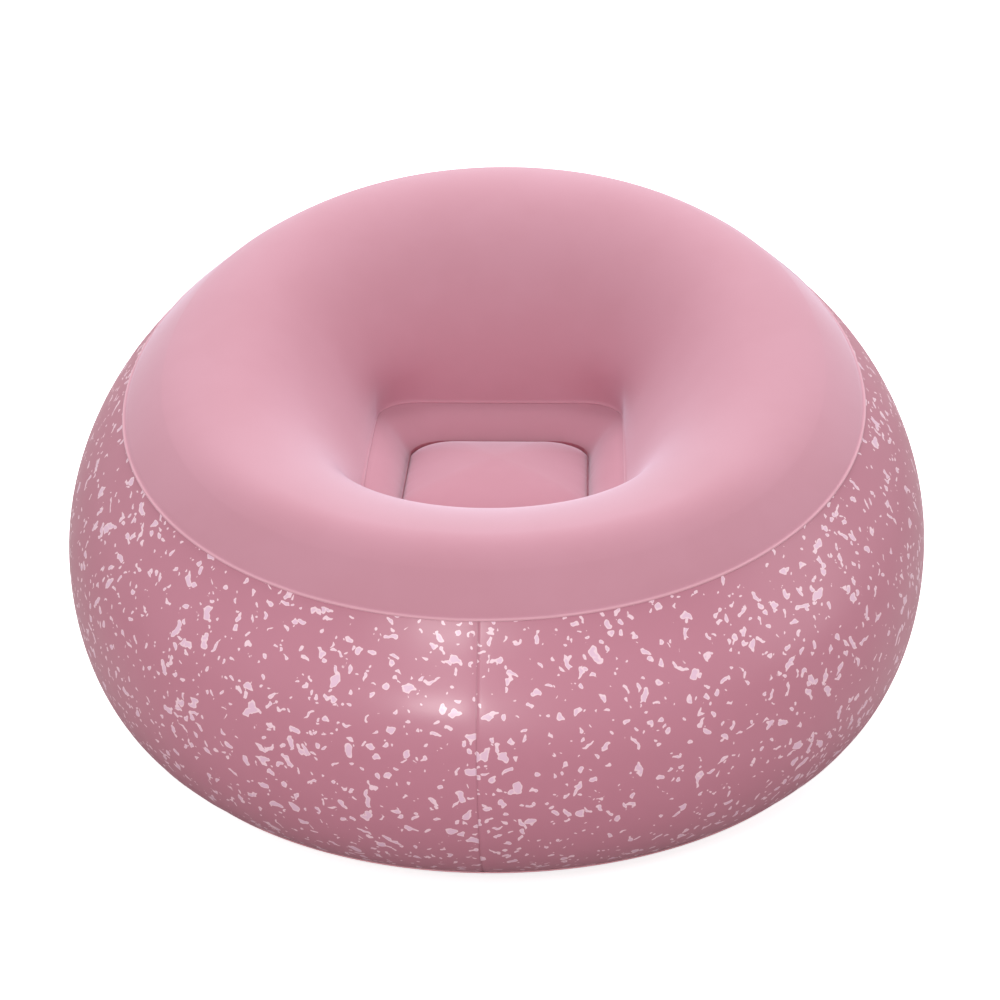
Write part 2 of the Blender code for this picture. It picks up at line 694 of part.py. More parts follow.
def make_valve_insert():
    """Threaded insert: rim with finger hollows, collar, flap seat with its cross, and pin lugs."""
    insert = turned("valve_insert", (
        (SEAT_RADIUS, INSERT_BOTTOM), (INSERT_RADIUS - PLUG_CHAMFER, INSERT_BOTTOM),
        (INSERT_RADIUS, INSERT_BOTTOM + PLUG_CHAMFER), (INSERT_RADIUS, RIM_BOTTOM),
        (INSERT_RIM_RADIUS, RIM_BOTTOM), (INSERT_RIM_RADIUS, RIM_TOP), (COLLAR_RADIUS, RIM_TOP),
        (COLLAR_RADIUS, COLLAR_TOP), (SOCKET_RADIUS, COLLAR_TOP),
        (SOCKET_RADIUS, INSERT_BOTTOM + SEAT_THICKNESS), (SEAT_RADIUS, INSERT_BOTTOM + SEAT_THICKNESS)))
    for i in range(GRIP_COUNT):
        angle = 2 * math.pi * (i + 0.5) / GRIP_COUNT
        centre = around(INSERT_RIM_RADIUS + GRIP_RADIUS - GRIP_DEPTH, angle, 0.0)
        hollow = rod("hollow", GRIP_RADIUS, centre + Vector((0, 0, RIM_BOTTOM - CUT_OVERRUN)),
                     centre + Vector((0, 0, RIM_TOP + CUT_OVERRUN)), steps=SMALL_STEPS // 2)
        combine(insert, hollow, 'DIFFERENCE')
    half = BAR_WIDTH / 2
    reach = (SEAT_RADIUS + SOCKET_RADIUS) / 2
    low = INSERT_BOTTOM + BAR_SETBACK
    high = INSERT_BOTTOM + SEAT_THICKNESS - BAR_SETBACK / 2
    combine(insert, block("bar", (-reach, -half, low), (reach, half, high)), 'UNION')
    combine(insert, block("bar", (-half, -reach, low), (half, reach, high)), 'UNION')
    for side in (-1, 1):
        near = side * (BARREL_LENGTH / 2 + RUN_CLEARANCE)
        far = near + side * LUG_WIDTH
        lug = block("lug", (min(near, far), PIN_Y - LUG_REACH, PIN_Z - LUG_REACH),
                    (max(near, far), PIN_Y + LUG_REACH, INSERT_BOTTOM + SEAT_THICKNESS / 2))
        combine(insert, lug, 'UNION')
    eye = rod("eye", PIN_RADIUS + RUN_CLEARANCE, (-BARREL_LENGTH, PIN_Y, PIN_Z), (BARREL_LENGTH, PIN_Y, PIN_Z),
              steps=FINE_STEPS)
    combine(insert, eye, 'DIFFERENCE')
    return finish(insert, WHITE_PLASTIC, 0.4)


def make_flap_pin():
    half = BARREL_LENGTH / 2 + RUN_CLEARANCE + LUG_WIDTH
    pin = rod("flap_pin", PIN_RADIUS, (-half, PIN_Y, PIN_Z), (half, PIN_Y, PIN_Z), steps=FINE_STEPS)
    return finish(pin, STEEL, 0.35, 1.0)


def make_check_flap():
    """Disc that the chair's air presses onto its seat, with a barrel on the pin."""
    top = INSERT_BOTTOM - RUN_CLEARANCE
    flap = turned("check_flap", ((0.0, top - FLAP_THICKNESS), (FLAP_RADIUS, top - FLAP_THICKNESS),
                                 (FLAP_RADIUS, top), (0.0, top)))
    half = BARREL_LENGTH / 2
    barrel = rod("barrel", BARREL_RADIUS, (-half, PIN_Y, PIN_Z), (half, PIN_Y, PIN_Z), steps=FINE_STEPS)
    combine(flap, barrel, 'UNION')
    combine(flap, block("tongue", (-half, 0.0, top - FLAP_THICKNESS), (half, PIN_Y, top)), 'UNION')
    eye = rod("eye", PIN_RADIUS + RUN_CLEARANCE, (-half - CUT_OVERRUN, PIN_Y, PIN_Z),
              (half + CUT_OVERRUN, PIN_Y, PIN_Z), steps=FINE_STEPS)
    combine(flap, eye, 'DIFFERENCE')
    finish(flap, GREY_RUBBER, 0.55)
    move_origin(flap, (0.0, PIN_Y, PIN_Z))
    return flap


def make_tether_ring():
    """Ring round the collar, with the strap that carries the cap's hinge."""
    ring = turned("tether_ring", ((RING_RADIUS, RING_BOTTOM), (RING_RADIUS + RING_WALL, RING_BOTTOM),
                                  (RING_RADIUS + RING_WALL, RING_TOP), (RING_RADIUS, RING_TOP)))
    strap = block("strap", (-STRAP_WIDTH / 2, RING_RADIUS + RING_WALL / 2, RING_BOTTOM),
                  (STRAP_WIDTH / 2, HINGE_Y, RING_TOP))
    return finish(combine(ring, strap, 'UNION'), CLEAR_PVC, 0.4)


def make_valve_cap():
    """Cap with its plug, the arm and leg down to the hinge, and the pull tab."""
    plug_radius = SOCKET_RADIUS - RUN_CLEARANCE
    top = CAP_BOTTOM + CAP_THICKNESS
    cap = turned("valve_cap", (
        (0.0, CAP_BOTTOM - PLUG_DEPTH), (plug_radius - PLUG_CHAMFER, CAP_BOTTOM - PLUG_DEPTH),
        (plug_radius, CAP_BOTTOM - PLUG_DEPTH + PLUG_CHAMFER), (plug_radius, CAP_BOTTOM),
        (CAP_RADIUS, CAP_BOTTOM), (CAP_RADIUS, top - PLUG_CHAMFER), (CAP_RADIUS - PLUG_CHAMFER, top), (0.0, top)))
    arm = block("arm", (-STRAP_WIDTH / 2, CAP_RADIUS - CAP_OVERHANG, CAP_BOTTOM),
                (STRAP_WIDTH / 2, HINGE_Y, top - PLUG_CHAMFER))
    combine(cap, arm, 'UNION')
    leg = block("leg", (-STRAP_WIDTH / 2, HINGE_Y - LEG_THICKNESS, RING_TOP + RUN_CLEARANCE),
                (STRAP_WIDTH / 2, HINGE_Y, CAP_BOTTOM + CAP_THICKNESS / 2))
    combine(cap, leg, 'UNION')
    tab = block("tab", (-TAB_WIDTH / 2, -CAP_RADIUS - TAB_LENGTH, CAP_BOTTOM + PLUG_CHAMFER / 2),
                (TAB_WIDTH / 2, -CAP_RADIUS + CAP_OVERHANG, top - PLUG_CHAMFER))
    combine(cap, tab, 'UNION')
    finish(cap, WHITE_PLASTIC, 0.4)
    move_origin(cap, (0.0, HINGE_Y, HINGE_Z))
    return cap


def make_chair():
    make_top_sheet()
    make_seat_panel()
    make_base_sheet()
    make_seat_baffle()
    finish(make_side_panel_right(), PINK_PRINT, 0.4)

    frame = valve_frame()
    finish(cut_valve_hole(make_side_panel_left(), frame), PINK_PRINT, 0.4)

    axis = bpy.data.objects.new("valve_axis", None)
    bpy.context.scene.collection.objects.link(axis)
    axis.matrix_world = frame
    for piece in (make_valve_base(frame), make_valve_seal(), make_valve_insert(), make_flap_pin(),
                  make_check_flap(), make_tether_ring(), make_valve_cap()):
        piece.parent = axis


make_chair()
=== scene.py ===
import math

import bmesh
import bpy
import numpy as np
from mathutils import Matrix, Vector, noise


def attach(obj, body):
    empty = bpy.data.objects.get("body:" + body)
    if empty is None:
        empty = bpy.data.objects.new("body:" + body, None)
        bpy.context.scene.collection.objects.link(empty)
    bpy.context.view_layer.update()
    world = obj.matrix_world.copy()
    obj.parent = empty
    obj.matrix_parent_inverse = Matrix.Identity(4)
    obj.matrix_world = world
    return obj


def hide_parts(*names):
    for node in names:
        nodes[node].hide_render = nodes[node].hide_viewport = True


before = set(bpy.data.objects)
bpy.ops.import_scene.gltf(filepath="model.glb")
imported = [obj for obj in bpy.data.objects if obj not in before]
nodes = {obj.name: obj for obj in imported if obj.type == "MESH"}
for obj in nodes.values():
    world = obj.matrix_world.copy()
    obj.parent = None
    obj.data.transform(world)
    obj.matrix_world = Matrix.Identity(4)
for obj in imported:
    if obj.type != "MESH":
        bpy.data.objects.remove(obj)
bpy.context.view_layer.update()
print("frame loaded:", len(nodes), "nodes")


# camera and light

cameraSettings = {
    "place": (0.12512, -2.72384, 1.55111),
    "right": (0.999182, 0.038768, -0.011527),
    "up": (-0.005502, 0.412625, 0.910885),
    "lens": 81.48,
    "sensor": 36.0,
    "clip": (0.05, 60.0),
}


def addCamera(settings):
    data = bpy.data.cameras.new("studioCamera")
    data.lens = settings["lens"]
    data.sensor_width = settings["sensor"]
    data.clip_start, data.clip_end = settings["clip"]
    camera = bpy.data.objects.new("studioCamera", data)
    bpy.context.scene.collection.objects.link(camera)
    right = Vector(settings["right"]).normalized()
    up = Vector(settings["up"]).normalized()
    back = right.cross(up).normalized()
    up = back.cross(right)
    turn = Matrix((right, up, back)).transposed().to_4x4()
    camera.matrix_world = Matrix.Translation(settings["place"]) @ turn
    bpy.context.scene.camera = camera


chairMiddle = (0.0, 0.0, 0.35)
lightSettings = {
    "world": (1.0, 1.0, 1.0), "worldPower": 0.586,
    "lights": {
        "backLight": {"from": (0.0, 3.4, 2.9), "to": chairMiddle, "size": 3.0, "power": 82.0},
        "topLight": {"from": (0.0, 1.9, 4.2), "to": chairMiddle, "size": 3.0, "power": 76.0},
        "frontLight": {"from": (-0.4, -3.5, 2.4), "to": chairMiddle, "size": 1.8, "power": 10.0},
        "lowLight": {"from": (0.0, -4.6, 1.3), "to": chairMiddle, "size": 2.2, "power": 11.0},
        "rightLight": {"from": (4.4, -0.6, 2.2), "to": chairMiddle, "size": 2.6, "power": 21.0},
        "glintLight": {"from": (-0.57, -3.05, 2.03), "to": (-0.05, -0.54, 0.32), "size": 0.55, "power": 20.0},
    },
    "floor": (0.51, 0.43, 0.44), "floorSeen": (0.90, 0.90, 0.90), "floorGlow": 0.75,
    "floorRoughness": 0.9, "floorSize": 40.0,
}


def addLight(name, settings):
    data = bpy.data.lights.new(name, 'AREA')
    data.shape = 'DISK'
    data.size = settings["size"]
    data.energy = settings["power"]
    light = bpy.data.objects.new(name, data)
    bpy.context.scene.collection.objects.link(light)
    place = Vector(settings["from"])
    aim = place - Vector(settings["to"])
    light.matrix_world = Matrix.Translation(place) @ aim.to_track_quat('Z', 'Y').to_matrix().to_4x4()


def addStudio(settings):
    world = bpy.data.worlds.new("studioWorld")
    world.use_nodes = True
    background = world.node_tree.nodes["Background"]
    background.inputs["Color"].default_value = (*settings["world"], 1.0)
    # white to the camera, softer as a light
    sky = world.node_tree.nodes.new("ShaderNodeMath")
    sky.operation = 'MAXIMUM'
    sky.inputs[1].default_value = settings["worldPower"]
    cameraRay = world.node_tree.nodes.new("ShaderNodeLightPath").outputs["Is Camera Ray"]
    world.node_tree.links.new(cameraRay, sky.inputs[0])
    world.node_tree.links.new(sky.outputs[0], background.inputs["Strength"])
    bpy.context.scene.world = world
    for name, light in settings["lights"].items():
        addLight(name, light)
    bpy.context.scene.view_settings.view_transform = 'Standard'
    bpy.ops.object.select_all(action='DESELECT')
    bpy.ops.mesh.primitive_plane_add(size=settings["floorSize"], location=(0, 0, 0))
    floor = bpy.context.active_object
    floor.name = "studioFloor"
    material = bpy.data.materials.new("studioFloor")
    material.use_nodes = True
    tree = material.node_tree
    shader = tree.nodes["Principled BSDF"]
    # pale to the camera, darker and warmer for the light that it throws back under the chair
    seen = tree.nodes.new("ShaderNodeLightPath").outputs["Is Camera Ray"]
    colour = tree.nodes.new("ShaderNodeMix")
    colour.data_type = 'RGBA'
    colour.inputs[6].default_value = (*settings["floor"], 1.0)
    colour.inputs[7].default_value = (*settings["floorSeen"], 1.0)
    tree.links.new(seen, colour.inputs[0])
    tree.links.new(colour.outputs[2], shader.inputs["Base Color"])
    glow = tree.nodes.new("ShaderNodeMath")
    glow.operation = 'MULTIPLY'
    glow.inputs[1].default_value = settings["floorGlow"]
    tree.links.new(seen, glow.inputs[0])
    shader.inputs["Emission Color"].default_value = (1.0, 1.0, 1.0, 1.0)
    tree.links.new(glow.outputs[0], shader.inputs["Emission Strength"])
    shader.inputs["Roughness"].default_value = settings["floorRoughness"]
    floor.data.materials.append(material)


addCamera(cameraSettings)
addStudio(lightSettings)
print("camera, lights and floor made")


# the chair's form

# heights, radii and widths in metres, slopes in degrees, handles as shares of a curve's span;
# three values are those at the front, side and back
form = {
    "vinyl": 0.0004, "gap": 0.0003, "lap": 0.010, "seamLap": 0.008,
    "equatorRadius": 0.560, "equatorHeight": (0.248, 0.273, 0.297),
    "rimRadius": (0.463, 0.4703, 0.4464), "rimShift": -0.0238, "rimHeight": (0.3881, 0.4904, 0.6356),
    "crestRadius": (0.4095, 0.3583, 0.4185), "crestHeight": (0.4575, 0.5411, 0.6515),
    "crestSquare": 0.0194,
    "wellWidth": 0.338, "wellDepth": 0.343, "wellCorner": 0.055, "wellShift": 0.019,
    "wellHeight": (0.350, 0.372, 0.378), "bandWidth": 0.047, "bandDrop": 0.046,
    "pillowCrown": 0.039, "pillowPower": 1.6,
    "baseWeldRadius": 0.418, "baseWeldRise": 0.0223, "hemShare": 0.255, "hemProbe": 0.01,
    "flatOuter": 0.285, "flatInner": 0.205,
    "tieRise": 0.012, "middleSag": 0.006,
    "baseSlope": 14.0, "wallSlope": (61.8, 46.8, 22.5), "topSlope": (57.1, 47.5, 64.5),
    "wellSlope": (44.3, 56.9, 91.6), "wellRound": 0.982, "bowlCorner": 0.115, "cornerReach": 0.045,
    "bandSlopes": (10.0, 62.0),
    "lowerHandle": 0.558, "equatorHandle": 0.3976, "rimHandle": 0.4153, "topHandle": 0.36,
    "crestHandle": 0.4654, "bowlHandle": 0.3679, "wellHandle": 0.752, "bandHandle": 0.40, "baseHandle": 0.40,
}
floorLevel = form["vinyl"] + form["gap"]
tiny = 1e-12


# front, side and back value, blended round the chair
def roundTheChair(values, angles):
    front, side, back = values
    s = np.sin(angles)
    return side + (back - front) / 2 * s + ((front + back) / 2 - side) * s * s


def ring(radius, angles, height, shift=0.0):
    ones = np.ones_like(angles)
    return np.stack([radius * np.cos(angles), shift + radius * np.sin(angles), height * ones], axis=1)


def outward(angles):
    return ring(1.0, angles, 0.0)


def sloped(direction, degrees):
    slope = np.radians(degrees) * np.ones(len(direction))
    raised = direction * np.cos(slope)[:, None]
    raised[:, 2] += np.sin(slope)
    return raised


def lengthOf(vectors):
    return np.linalg.norm(vectors, axis=1, keepdims=True)


def levelOf(vectors):
    flat = vectors.copy()
    flat[:, 2] = 0.0
    return flat


def bezier(points, share):
    a, b, c, d = points
    t = np.asarray(share, dtype=float).reshape(-1, 1)
    r = 1.0 - t
    return a * r ** 3 + b * (3 * r ** 2 * t) + c * (3 * r * t ** 2) + d * t ** 3


# distance from the middle of a rounded rectangle to its edge
def squareReach(halfWidth, halfDepth, corner, angles):
    c = np.abs(np.cos(angles))
    s = np.abs(np.sin(angles))
    toSide = halfWidth / np.maximum(c, tiny)
    toEnd = halfDepth / np.maximum(s, tiny)
    reach = np.where(c * halfDepth > s * halfWidth, toSide, toEnd)
    centreX = halfWidth - corner
    centreY = halfDepth - corner
    inCorner = (reach * c > centreX) & (reach * s > centreY)
    along = centreX * c + centreY * s
    across = centreX ** 2 + centreY ** 2 - corner ** 2
    rounded = along + np.sqrt(np.maximum(along ** 2 - across, 0.0))
    return np.where(inCorner, rounded, reach)


def baseWeld(angles):
    return ring(form["baseWeldRadius"], angles, floorLevel + form["baseWeldRise"])


def equator(angles):
    return ring(form["equatorRadius"], angles, roundTheChair(form["equatorHeight"], angles))


def rim(angles):
    radius = roundTheChair(form["rimRadius"], angles)
    return ring(radius, angles, roundTheChair(form["rimHeight"], angles), form["rimShift"])


def crest(angles):
    radius = roundTheChair(form["crestRadius"], angles) * (1.0 - form["crestSquare"] * np.cos(4 * angles))
    return ring(radius, angles, roundTheChair(form["crestHeight"], angles))


def well(angles):
    radius = squareReach(form["wellWidth"] / 2, form["wellDepth"] / 2, form["wellCorner"], angles)
    return ring(radius, angles, roundTheChair(form["wellHeight"], angles), form["wellShift"])


def tieRing(angles, height):
    band = form["bandWidth"]
    corner = max(form["wellCorner"] - band, band)
    radius = squareReach(form["wellWidth"] / 2 - band, form["wellDepth"] / 2 - band, corner, angles)
    return ring(radius, angles, height, form["wellShift"])


def crease(angles):
    return tieRing(angles, form["wellHeight"][2] - form["bandDrop"])


def foot(angles):
    return tieRing(angles, floorLevel + form["tieRise"])


def lowerCurve(angles):
    start, end = baseWeld(angles), equator(angles)
    run = lengthOf(levelOf(end - start)) * form["lowerHandle"]
    climb = (end[:, 2:3] - start[:, 2:3]) * form["lowerHandle"] * np.array([[0.0, 0.0, 1.0]])
    return start, start + sloped(outward(angles), form["baseSlope"]) * run, end - climb, end


def upperCurve(angles):
    start, end = equator(angles), rim(angles)
    span = lengthOf(end - start)
    arrival = sloped(-outward(angles), roundTheChair(form["wallSlope"], angles))
    climb = span * form["equatorHandle"] * np.array([[0.0, 0.0, 1.0]])
    return start, start + climb, end - arrival * (span * form["rimHandle"]), end


def outerCurve(angles):
    start, end = rim(angles), crest(angles)
    departure = sloped(-outward(angles), roundTheChair(form["topSlope"], angles))
    run = lengthOf(levelOf(end - start)) * form["crestHandle"]
    climb = lengthOf(end - start) * form["topHandle"]
    return start, start + departure * climb, end + outward(angles) * run, end


# bowl down to a softened outline of the well
def innerCurve(angles):
    start, weld = crest(angles), well(angles)
    width, depth = form["wellWidth"] / 2, form["wellDepth"] / 2
    end = ring(squareReach(width, depth, form["bowlCorner"], angles), angles, weld[:, 2], form["wellShift"])
    level = levelOf(end - start)
    inward = level / lengthOf(level)
    run = lengthOf(level) * form["bowlHandle"]
    drop = (start[:, 2:3] - end[:, 2:3]) * form["wellHandle"]
    slope = roundTheChair(form["wellSlope"], angles)
    corner = form["wellRound"] * min(width, depth)
    soft = ring(squareReach(width, depth, corner, angles), angles, end[:, 2], form["wellShift"])
    return start, start + inward * run, soft + sloped(-inward, slope) * drop, end


# the well's corners draw the bowl out only close above their weld
def bowlPoint(angles, curve, share):
    point = bezier(curve, share)
    rise = np.maximum(point[:, 2:3] - curve[3][:, 2:3], 0.0)
    return point + (well(angles) - curve[3]) * np.exp(-(rise / form["cornerReach"]) ** 2)


# ring weld of the base sheet, where the wall turns under, or a point that far below it
def hemPoint(angles, distance=0.0):
    lower, share, probe = lowerCurve(angles), form["hemShare"], form["hemProbe"]
    here, ahead = bezier(lower, share), bezier(lower, share + probe)
    speed = lengthOf(ahead - here)[:, 0] / probe
    return bezier(lower, share - distance / speed)


def bandCurve(angles):
    start, end = well(angles), crease(angles)
    level = levelOf(end - start)
    inward = level / lengthOf(level)
    reach = lengthOf(end - start) * form["bandHandle"]
    return (start, start + sloped(inward, -form["bandSlopes"][0]) * reach,
            end + sloped(-inward, form["bandSlopes"][1]) * reach, end)


def baseCurve(angles):
    start, end = ring(form["flatOuter"], angles, floorLevel), baseWeld(angles)
    reach = lengthOf(end - start) * form["baseHandle"]
    arrival = sloped(outward(angles), form["baseSlope"])
    return start, start + outward(angles) * reach, end - arrival * reach, end


def pillowRow(angles, share):
    edge = crease(angles)
    middle = np.array([[0.0, form["wellShift"], edge[0, 2]]])
    rise = (1.0 - share ** form["pillowPower"]) ** (1.0 / form["pillowPower"])
    row = middle + (edge - middle) * share
    row[:, 2] += form["pillowCrown"] * rise
    return row


# share of a curve that lies a small distance from its start
def nearStart(curve, distance):
    handle = lengthOf(curve[1] - curve[0])[:, 0]
    return distance / (3 * handle)


def nearEnd(curve, distance):
    handle = lengthOf(curve[3] - curve[2])[:, 0]
    return 1.0 - distance / (3 * handle)


waveSettings = {"seedStep": 7.31, "gain": 1.8}


# uneven waves round the chair, from -1 to 1, that close on themselves
def waves(angles, count, seed):
    radius = count / (2 * math.pi)
    height = seed * waveSettings["seedStep"]
    values = [noise.noise(Vector((radius * math.cos(a), radius * math.sin(a), height))) for a in angles]
    return np.clip(np.array(values) * waveSettings["gain"], -1.0, 1.0)


def wholeTurn(stepDegrees):
    return np.arange(round(360 / stepDegrees)) * math.radians(stepDegrees)


# grids hold rows of points along the chair's section, with one column per angle round it
def gridNormals(grid, closed):
    if closed:
        across = np.roll(grid, -1, axis=1) - np.roll(grid, 1, axis=1)
    else:
        across = np.gradient(grid, axis=1)
    along = np.gradient(grid, axis=0)
    normal = np.cross(across, along)
    size = np.linalg.norm(normal, axis=2, keepdims=True)
    return normal / np.maximum(size, tiny)


sharpAngle = math.radians(50)


# sheet of vinyl with its edges closed, from an outer and an inner grid of points and a mark for each pair;
# a pole is a row that meets in one point
def vinylShell(name, outer, inner, closed, marks, poleFirst=False, poleLast=False):
    rows, count = outer.shape[:2]
    steps = count if closed else count - 1
    first = 1 if poleFirst else 0
    last = rows - 1 if poleLast else rows
    points, faces, values = [], [], []

    def addGrid(grid, flip):
        start = len(points)
        if poleFirst:
            points.append(grid[0].mean(axis=0))
            values.append(float(marks[0].mean()))
        base = len(points)
        points.extend(grid[first:last].reshape(-1, 3))
        values.extend(marks[first:last].reshape(-1))
        for k in range(last - first - 1):
            for i in range(steps):
                j = (i + 1) % count
                a, b = base + k * count + i, base + k * count + j
                c, d = b + count, a + count
                faces.append((a, d, c, b) if flip else (a, b, c, d))
        if poleFirst:
            for i in range(steps):
                fan = (start, base + (i + 1) % count, base + i)
                faces.append(fan[::-1] if flip else fan)
        if poleLast:
            tip = len(points)
            points.append(grid[-1].mean(axis=0))
            values.append(float(marks[-1].mean()))
            edge = base + (last - first - 1) * count
            for i in range(steps):
                j = (i + 1) % count
                faces.append((edge + j, edge + i, tip) if flip else (edge + i, edge + j, tip))
        return base

    outerBase = addGrid(outer, False)
    innerBase = addGrid(inner, True)
    for pole, k in ((poleFirst, 0), (poleLast, last - first - 1)):
        if pole:
            continue
        for i in range(steps):
            j = (i + 1) % count
            a, b = outerBase + k * count + i, outerBase + k * count + j
            c, d = innerBase + k * count + j, innerBase + k * count + i
            faces.append((a, d, c, b) if k == 0 else (a, b, c, d))
    if not closed:
        for i in (0, count - 1):
            for k in range(last - first - 1):
                a, b = outerBase + k * count + i, outerBase + (k + 1) * count + i
                c, d = innerBase + (k + 1) * count + i, innerBase + k * count + i
                faces.append((a, b, c, d) if i == 0 else (a, d, c, b))
    mesh = bpy.data.meshes.new(name)
    mesh.from_pydata([tuple(p) for p in points], [], faces)
    layer = mesh.attributes.new("seamMark", 'FLOAT', 'POINT')
    layer.data.foreach_set("value", np.array(values, dtype=np.float32))
    bm = bmesh.new()
    bm.from_mesh(mesh)
    bmesh.ops.recalc_face_normals(bm, faces=bm.faces[:])
    if bm.calc_volume(signed=True) < 0:
        bmesh.ops.reverse_faces(bm, faces=bm.faces[:])
    bm.to_mesh(mesh)
    bm.free()
    piece = bpy.data.objects.new(name, mesh)
    bpy.context.scene.collection.objects.link(piece)
    mesh.shade_smooth()
    mesh.set_sharp_from_angle(angle=sharpAngle)
    return piece


# shared finishes

def newMaterial(name, colour, roughness):
    material = bpy.data.materials.new(name)
    material.use_nodes = True
    tree = material.node_tree
    shader = tree.nodes["Principled BSDF"]
    shader.inputs["Base Color"].default_value = (*colour, 1.0)
    shader.inputs["Roughness"].default_value = roughness
    return material, tree, shader


def addNode(tree, kind, **values):
    node = tree.nodes.new(kind)
    for key, value in values.items():
        setattr(node, key, value)
    return node


# math node on one or two values, each a number or another node's output
def mathNode(tree, operation, *values):
    node = addNode(tree, "ShaderNodeMath", operation=operation)
    for i, value in enumerate(values):
        if isinstance(value, float):
            node.inputs[i].default_value = value
        else:
            tree.links.new(value, node.inputs[i])
    return node.outputs[0]


def rangeNode(tree, value, low, high, toLow=0.0, toHigh=1.0, smooth=True):
    node = tree.nodes.new("ShaderNodeMapRange")
    node.interpolation_type = 'SMOOTHSTEP' if smooth else 'LINEAR'
    tree.links.new(value, node.inputs["Value"])
    for key, number in (("From Min", low), ("From Max", high), ("To Min", toLow), ("To Max", toHigh)):
        node.inputs[key].default_value = number
    return node.outputs["Result"]


def noiseNode(tree, vector, scale, detail, rough=0.5):
    node = tree.nodes.new("ShaderNodeTexNoise")
    node.inputs["Scale"].default_value = scale
    node.inputs["Detail"].default_value = detail
    node.inputs["Roughness"].default_value = rough
    tree.links.new(vector, node.inputs["Vector"])
    return node


def makeGroup(name, inputs, outputs):
    group = bpy.data.node_groups.new(name, 'ShaderNodeTree')
    for label, kind, value in inputs:
        socket = group.interface.new_socket(name=label, in_out='INPUT', socket_type=kind)
        if value is not None:
            socket.default_value = value
    for label, kind in outputs:
        group.interface.new_socket(name=label, in_out='OUTPUT', socket_type=kind)
    return group, group.nodes.new("NodeGroupInput"), group.nodes.new("NodeGroupOutput")


# vector math node on two vectors, each a tuple or another node's output
def vectorNode(tree, operation, first, second):
    node = addNode(tree, "ShaderNodeVectorMath", operation=operation)
    for i, value in enumerate((first, second)):
        if isinstance(value, tuple):
            node.inputs[i].default_value = value
        else:
            tree.links.new(value, node.inputs[i])
    return node


def shifted(tree, vector, offset):
    return vectorNode(tree, 'ADD', vector, offset).outputs[0]


chipSettings = {
    "warpScale": 80.0, "warpReach": 0.0145, "frayScale": 220.0, "frayReach": 0.0018, "noiseDetail": 1.0,
    "edge": 0.00035, "outline": 0.0010, "lot": (37.1, 17.7, 23.3),
    "layers": {
        "worms": {"scale": 59.0, "shift": (3.1, 1.7, 5.3), "stretch": 4.2,
                  "radius": (0.0015, 0.0039), "bare": 0.08},
        "flakes": {"scale": 46.0, "shift": (7.7, 2.9, 1.1), "stretch": 2.2,
                   "radius": (0.0016, 0.0060), "bare": 0.30},
        "dots": {"scale": 84.0, "shift": (1.3, 4.1, 8.9), "stretch": 1.3,
                 "radius": (0.0014, 0.0023), "bare": 0.58},
    },
}
middleGrey = (0.5, 0.5, 0.5)


# the same place, moved by up to half the reach in each direction
def scaledNoise(group, vector, scale, reach, detail):
    source = noiseNode(group, vector, scale, detail)
    centred = vectorNode(group, 'SUBTRACT', source.outputs["Color"], middleGrey)
    scaled = addNode(group, "ShaderNodeVectorMath", operation='SCALE')
    group.links.new(centred.outputs[0], scaled.inputs[0])
    scaled.inputs["Scale"].default_value = reach
    return vectorNode(group, 'ADD', vector, scaled.outputs[0]).outputs[0]


# one chip a cell, each turned and stretched its own way, with its own size or none:
# puts out 1 plus the depth inside the chip
def chipLayer(group, vector, layer, lot):
    place = shifted(group, vector, layer["shift"])
    cells = addNode(group, "ShaderNodeTexVoronoi", feature='F1')
    group.links.new(place, cells.inputs["Vector"])
    cells.inputs["Scale"].default_value = layer["scale"]
    offset = vectorNode(group, 'SUBTRACT', place, cells.outputs["Position"]).outputs[0]
    centred = vectorNode(group, 'SUBTRACT', cells.outputs["Color"], middleGrey)
    turned = addNode(group, "ShaderNodeVectorMath", operation='NORMALIZE')
    group.links.new(centred.outputs[0], turned.inputs[0])
    squared = vectorNode(group, 'DOT_PRODUCT', offset, offset).outputs["Value"]
    lengthwise = vectorNode(group, 'DOT_PRODUCT', offset, turned.outputs[0]).outputs["Value"]
    along = mathNode(group, 'MULTIPLY', lengthwise, lengthwise)
    shortened = mathNode(group, 'MULTIPLY', along, 1.0 - 1.0 / layer["stretch"] ** 2)
    away = mathNode(group, 'SQRT', mathNode(group, 'SUBTRACT', squared, shortened))
    drawn = vectorNode(group, 'DOT_PRODUCT', cells.outputs["Color"], lot)
    chance = mathNode(group, 'FRACT', drawn.outputs["Value"])
    low, high = layer["radius"]
    radius = rangeNode(group, chance, layer["bare"], 1.0, low, high, smooth=False)
    present = mathNode(group, 'GREATER_THAN', chance, layer["bare"])
    depth = mathNode(group, 'SUBTRACT', radius, away)
    return mathNode(group, 'MULTIPLY', mathNode(group, 'ADD', depth, 1.0), present)


# pale chips of a stone-chip print: bent worms, flakes and dots
def makeChipGroup(settings):
    group, given, out = makeGroup(
        "stoneChips",
        [("Vector", 'NodeSocketVector', None)],
        [("Mask", 'NodeSocketFloat'), ("Core", 'NodeSocketFloat')])
    detail = settings["noiseDetail"]
    bent = scaledNoise(group, given.outputs["Vector"], settings["warpScale"], settings["warpReach"], detail)
    frayed = scaledNoise(group, bent, settings["frayScale"], settings["frayReach"], detail)
    depth = None
    for layer in settings["layers"].values():
        chips = chipLayer(group, frayed, layer, settings["lot"])
        depth = chips if depth is None else mathNode(group, 'MAXIMUM', depth, chips)
    edge, outline = settings["edge"], settings["outline"]
    group.links.new(rangeNode(group, depth, 1.0, 1.0 + edge), out.inputs["Mask"])
    group.links.new(rangeNode(group, depth, 1.0 + outline, 1.0 + outline + 2 * edge), out.inputs["Core"])
    return group


